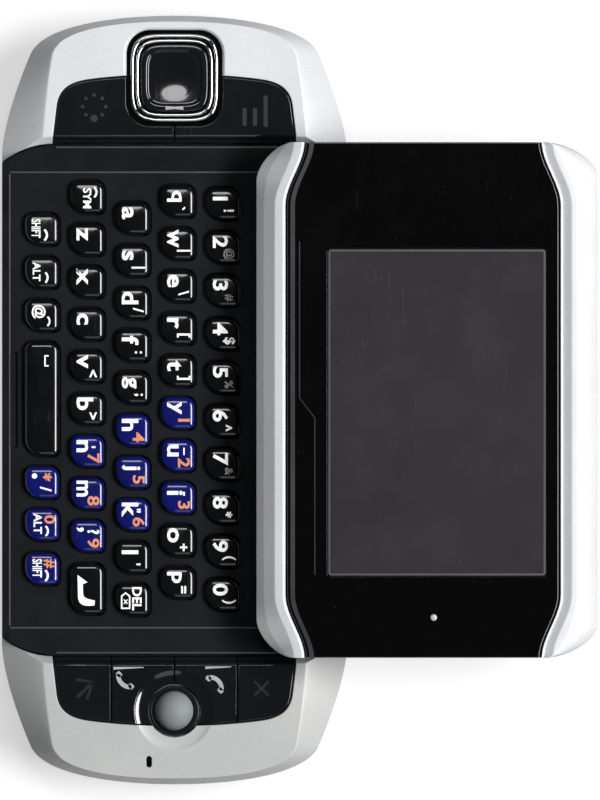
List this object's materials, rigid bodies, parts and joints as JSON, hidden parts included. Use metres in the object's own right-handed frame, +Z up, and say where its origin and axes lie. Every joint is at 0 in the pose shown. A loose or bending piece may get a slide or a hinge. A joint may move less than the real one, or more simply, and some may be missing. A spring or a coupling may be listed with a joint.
{
  "type": "swivel phone",
  "caption": "Wide handset with a full letter keyboard between silver end caps and a display slab that swivels half a turn on an upright pivot.",
  "frame": {"origin": "centre of the handset's flat back face, on the battery cover", "axes": "+X to the handset's right end, +Y to its hinge edge, +Z up to the display"},
  "size_m": [0.13, 0.1006, 0.022],
  "materials": {
    "silver_plastic": "satin silver lacquer",
    "deck_charcoal": "fine matte",
    "dark_shell": "fine matte, soft touch",
    "gloss_black": "polished",
    "key_black": "gloss with white and coloured legends",
    "key_blue": "gloss with white and orange legends",
    "chrome_trim": "polished",
    "steel": "satin",
    "ball_grey": "smooth",
    "board_green": "solder mask",
    "battery_grey": "plain wrap",
    "screen_grey": "unlit display panel",
    "window_clear": "clear hard-coated window",
    "key_rubber": "moulded keypad with gloss caps"
  },
  "bodies": {
    "handset": {"rear_housing": "dark_shell", "battery_cover": "dark_shell", "battery": "battery_grey", "main_board": "board_green", "keymat": "key_rubber", "keyboard_deck": "deck_charcoal", "left_end_cap": "silver_plastic", "right_end_cap": "silver_plastic", "camera_module": "gloss_black", "usb_socket": "steel", "d_pad_trim": "chrome_trim", "trackball_bezel": "gloss_black", "hinge_base_plate": "steel"},
    "display": {"display_back": "dark_shell", "display_frame": "gloss_black", "lower_rail": "silver_plastic", "upper_rail": "silver_plastic", "screen_window": "window_clear", "lcd_panel": "screen_grey", "hinge_shaft": "steel", "hinge_washer": "steel"},
    "d_pad_ring": {"d_pad_ring": "chrome_trim"},
    "d_pad": {"d_pad": "gloss_black"},
    "trackball": {"trackball": "ball_grey"},
    "volume_rocker": {"volume_rocker": "dark_shell"},
    "left_shoulder_button": {"left_shoulder_button": "dark_shell"},
    "right_shoulder_button": {"right_shoulder_button": "dark_shell"},
    "power_button": {"power_button": "dark_shell"},
    "jump_key": {"jump_key": "gloss_black"},
    "menu_key": {"menu_key": "gloss_black"},
    "cancel_key": {"cancel_key": "gloss_black"},
    "call_key": {"call_key": "gloss_black"},
    "end_key": {"end_key": "gloss_black"},
    "ok_key": {"ok_key": "gloss_black"},
    "key_q": {"key_q": "key_black"},
    "key_w": {"key_w": "key_black"},
    "key_e": {"key_e": "key_black"},
    "key_r": {"key_r": "key_black"},
    "key_t": {"key_t": "key_black"},
    "key_y": {"key_y": "key_blue"},
    "key_u": {"key_u": "key_blue"},
    "key_i": {"key_i": "key_blue"},
    "key_o": {"key_o": "key_black"},
    "key_p": {"key_p": "key_black"},
    "key_a": {"key_a": "key_black"},
    "key_s": {"key_s": "key_black"},
    "key_d": {"key_d": "key_black"},
    "key_f": {"key_f": "key_black"},
    "key_g": {"key_g": "key_black"},
    "key_h": {"key_h": "key_blue"},
    "key_j": {"key_j": "key_blue"},
    "key_k": {"key_k": "key_blue"},
    "key_l": {"key_l": "key_black"},
    "key_z": {"key_z": "key_black"},
    "key_x": {"key_x": "key_black"},
    "key_c": {"key_c": "key_black"},
    "key_v": {"key_v": "key_black"},
    "key_b": {"key_b": "key_black"},
    "key_n": {"key_n": "key_blue"},
    "key_m": {"key_m": "key_blue"}
  },
  "joints": [
    {"name": "display_swivel", "type": "hinge", "parent": "handset", "child": "display", "pos_m": [0, 0.0213, 0.0141], "axis": [0, 0, 1], "range_deg": [0, 180]},
    {"name": "d_pad_up_down", "type": "hinge", "parent": "handset", "child": "d_pad_ring", "pos_m": [-0.0544, 0, 0.012], "axis": [1, 0, 0], "range_deg": [-2.5, 2.5], "stiffness_Nm_per_rad": 0.4},
    {"name": "d_pad_left_right", "type": "hinge", "parent": "d_pad_ring", "child": "d_pad", "pos_m": [-0.0544, 0, 0.012], "axis": [0, 1, 0], "range_deg": [-2.5, 2.5], "stiffness_Nm_per_rad": 0.4},
    {"name": "trackball_roll", "type": "hinge", "parent": "handset", "child": "trackball", "pos_m": [0.0525, 0, 0.01], "axis": [0, 1, 0], "continuous": true},
    {"name": "volume_rock", "type": "hinge", "parent": "handset", "child": "volume_rocker", "pos_m": [-0.034, -0.0273, 0.005], "axis": [0, 0, 1], "range_deg": [-1.2, 1.2], "stiffness_Nm_per_rad": 0.4},
    {"name": "left_shoulder_button_press", "type": "slide", "parent": "handset", "child": "left_shoulder_button", "axis": [0, -1, 0], "range_m": [0, 0.0004], "stiffness_N_per_m": 600},
    {"name": "right_shoulder_button_press", "type": "slide", "parent": "handset", "child": "right_shoulder_button", "axis": [0, -1, 0], "range_m": [0, 0.0004], "stiffness_N_per_m": 600},
    {"name": "power_button_press", "type": "slide", "parent": "handset", "child": "power_button", "axis": [0, 1, 0], "range_m": [0, 0.0004], "stiffness_N_per_m": 600},
    {"name": "jump_key_press", "type": "slide", "parent": "handset", "child": "jump_key", "axis": [0, 0, -1], "range_m": [0, 0.0004], "stiffness_N_per_m": 600},
    {"name": "menu_key_press", "type": "slide", "parent": "handset", "child": "menu_key", "axis": [0, 0, -1], "range_m": [0, 0.0004], "stiffness_N_per_m": 600},
    {"name": "cancel_key_press", "type": "slide", "parent": "handset", "child": "cancel_key", "axis": [0, 0, -1], "range_m": [0, 0.0004], "stiffness_N_per_m": 600},
    {"name": "call_key_press", "type": "slide", "parent": "handset", "child": "call_key", "axis": [0, 0, -1], "range_m": [0, 0.0004], "stiffness_N_per_m": 600},
    {"name": "end_key_press", "type": "slide", "parent": "handset", "child": "end_key", "axis": [0, 0, -1], "range_m": [0, 0.0004], "stiffness_N_per_m": 600},
    {"name": "ok_key_press", "type": "slide", "parent": "handset", "child": "ok_key", "axis": [0, 0, -1], "range_m": [0, 0.0004], "stiffness_N_per_m": 600},
    {"name": "key_q_press", "type": "slide", "parent": "handset", "child": "key_q", "axis": [0, 0, -1], "range_m": [0, 0.0004], "stiffness_N_per_m": 600},
    {"name": "key_w_press", "type": "slide", "parent": "handset", "child": "key_w", "axis": [0, 0, -1], "range_m": [0, 0.0004], "stiffness_N_per_m": 600},
    {"name": "key_e_press", "type": "slide", "parent": "handset", "child": "key_e", "axis": [0, 0, -1], "range_m": [0, 0.0004], "stiffness_N_per_m": 600},
    {"name": "key_r_press", "type": "slide", "parent": "handset", "child": "key_r", "axis": [0, 0, -1], "range_m": [0, 0.0004], "stiffness_N_per_m": 600},
    {"name": "key_t_press", "type": "slide", "parent": "handset", "child": "key_t", "axis": [0, 0, -1], "range_m": [0, 0.0004], "stiffness_N_per_m": 600},
    {"name": "key_y_press", "type": "slide", "parent": "handset", "child": "key_y", "axis": [0, 0, -1], "range_m": [0, 0.0004], "stiffness_N_per_m": 600},
    {"name": "key_u_press", "type": "slide", "parent": "handset", "child": "key_u", "axis": [0, 0, -1], "range_m": [0, 0.0004], "stiffness_N_per_m": 600},
    {"name": "key_i_press", "type": "slide", "parent": "handset", "child": "key_i", "axis": [0, 0, -1], "range_m": [0, 0.0004], "stiffness_N_per_m": 600},
    {"name": "key_o_press", "type": "slide", "parent": "handset", "child": "key_o", "axis": [0, 0, -1], "range_m": [0, 0.0004], "stiffness_N_per_m": 600},
    {"name": "key_p_press", "type": "slide", "parent": "handset", "child": "key_p", "axis": [0, 0, -1], "range_m": [0, 0.0004], "stiffness_N_per_m": 600},
    {"name": "key_a_press", "type": "slide", "parent": "handset", "child": "key_a", "axis": [0, 0, -1], "range_m": [0, 0.0004], "stiffness_N_per_m": 600},
    {"name": "key_s_press", "type": "slide", "parent": "handset", "child": "key_s", "axis": [0, 0, -1], "range_m": [0, 0.0004], "stiffness_N_per_m": 600},
    {"name": "key_d_press", "type": "slide", "parent": "handset", "child": "key_d", "axis": [0, 0, -1], "range_m": [0, 0.0004], "stiffness_N_per_m": 600},
    {"name": "key_f_press", "type": "slide", "parent": "handset", "child": "key_f", "axis": [0, 0, -1], "range_m": [0, 0.0004], "stiffness_N_per_m": 600},
    {"name": "key_g_press", "type": "slide", "parent": "handset", "child": "key_g", "axis": [0, 0, -1], "range_m": [0, 0.0004], "stiffness_N_per_m": 600},
    {"name": "key_h_press", "type": "slide", "parent": "handset", "child": "key_h", "axis": [0, 0, -1], "range_m": [0, 0.0004], "stiffness_N_per_m": 600},
    {"name": "key_j_press", "type": "slide", "parent": "handset", "child": "key_j", "axis": [0, 0, -1], "range_m": [0, 0.0004], "stiffness_N_per_m": 600},
    {"name": "key_k_press", "type": "slide", "parent": "handset", "child": "key_k", "axis": [0, 0, -1], "range_m": [0, 0.0004], "stiffness_N_per_m": 600},
    {"name": "key_l_press", "type": "slide", "parent": "handset", "child": "key_l", "axis": [0, 0, -1], "range_m": [0, 0.0004], "stiffness_N_per_m": 600},
    {"name": "key_z_press", "type": "slide", "parent": "handset", "child": "key_z", "axis": [0, 0, -1], "range_m": [0, 0.0004], "stiffness_N_per_m": 600},
    {"name": "key_x_press", "type": "slide", "parent": "handset", "child": "key_x", "axis": [0, 0, -1], "range_m": [0, 0.0004], "stiffness_N_per_m": 600},
    {"name": "key_c_press", "type": "slide", "parent": "handset", "child": "key_c", "axis": [0, 0, -1], "range_m": [0, 0.0004], "stiffness_N_per_m": 600},
    {"name": "key_v_press", "type": "slide", "parent": "handset", "child": "key_v", "axis": [0, 0, -1], "range_m": [0, 0.0004], "stiffness_N_per_m": 600},
    {"name": "key_b_press", "type": "slide", "parent": "handset", "child": "key_b", "axis": [0, 0, -1], "range_m": [0, 0.0004], "stiffness_N_per_m": 600},
    {"name": "key_n_press", "type": "slide", "parent": "handset", "child": "key_n", "axis": [0, 0, -1], "range_m": [0, 0.0004], "stiffness_N_per_m": 600},
    {"name": "key_m_press", "type": "slide", "parent": "handset", "child": "key_m", "axis": [0, 0, -1], "range_m": [0, 0.0004], "stiffness_N_per_m": 600}
  ]
}
